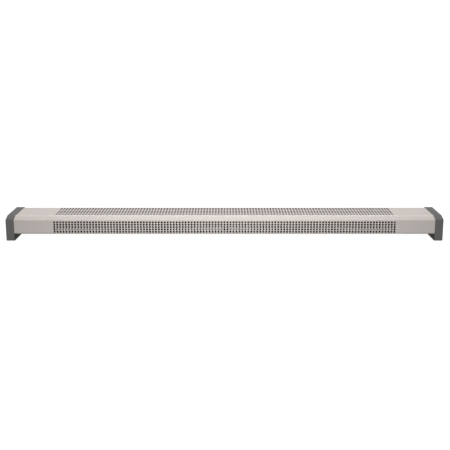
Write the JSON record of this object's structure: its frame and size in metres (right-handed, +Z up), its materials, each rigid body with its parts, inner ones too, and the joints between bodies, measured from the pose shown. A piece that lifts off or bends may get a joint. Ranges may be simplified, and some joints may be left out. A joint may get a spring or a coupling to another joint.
{
  "type": "plinth heater",
  "caption": "Long low electric heater: folded steel casing with punched front and top, held between two moulded end caps that are its feet, finned element inside.",
  "frame": {"origin": "on the floor, under the middle of the heater", "axes": "+X along the heater to the viewer's right, +Y from the front to the back, +Z up"},
  "size_m": [1.466, 0.072, 0.085],
  "materials": {
    "casing_paint": "satin warm light grey powder coat",
    "chassis_enamel": "satin black stove enamel",
    "cap_plastic": "dark grey, lightly grained moulding",
    "black_rubber": "matt black",
    "shield_aluminium": "rolled sheet, dulled by heat",
    "sheath_steel": "heat-dulled stainless",
    "fin_steel": "black oxide",
    "brass_fittings": "plain turned brass",
    "white_ceramic": "matt fired ceramic",
    "plated_steel": "zinc plated",
    "dark_phenolic": "dark moulded phenolic",
    "cream_nylon": "cream nylon",
    "brown_insulation": "brown wire insulation",
    "blue_insulation": "blue wire insulation",
    "green_insulation": "green and yellow wire insulation, plain green here"
  },
  "bodies": {
    "root": {"perforated_cover": "casing_paint", "chassis_tray": "chassis_enamel", "left_end_cap": "cap_plastic", "right_end_cap": "cap_plastic", "foot_pads": "black_rubber", "left_end_plate": "chassis_enamel", "right_end_plate": "chassis_enamel", "left_partition": "chassis_enamel", "right_partition": "chassis_enamel", "heat_shield": "shield_aluminium", "element_sheath": "sheath_steel", "element_fins": "fin_steel", "element_bushes": "brass_fittings", "element_nuts": "brass_fittings", "element_insulators": "white_ceramic", "element_pins": "plated_steel", "pin_nuts": "plated_steel", "left_element_bracket": "chassis_enamel", "middle_element_bracket": "chassis_enamel", "right_element_bracket": "chassis_enamel", "thermal_cutout": "dark_phenolic", "terminal_block": "cream_nylon", "terminal_clamps": "brass_fittings", "terminal_screws": "plated_steel", "earth_stud": "brass_fittings", "earth_nut": "brass_fittings", "cable_grommet": "black_rubber", "live_wire": "brown_insulation", "link_wire": "brown_insulation", "neutral_wire": "blue_insulation", "earth_wire": "green_insulation", "ring_terminals": "plated_steel", "tab_receptacles": "plated_steel", "cap_screws": "plated_steel", "cover_screws": "plated_steel", "cutout_screws": "plated_steel", "block_screws": "plated_steel", "plate_rivets": "plated_steel", "bracket_rivets": "plated_steel", "shield_rivets": "plated_steel"}
  },
  "joints": []
}
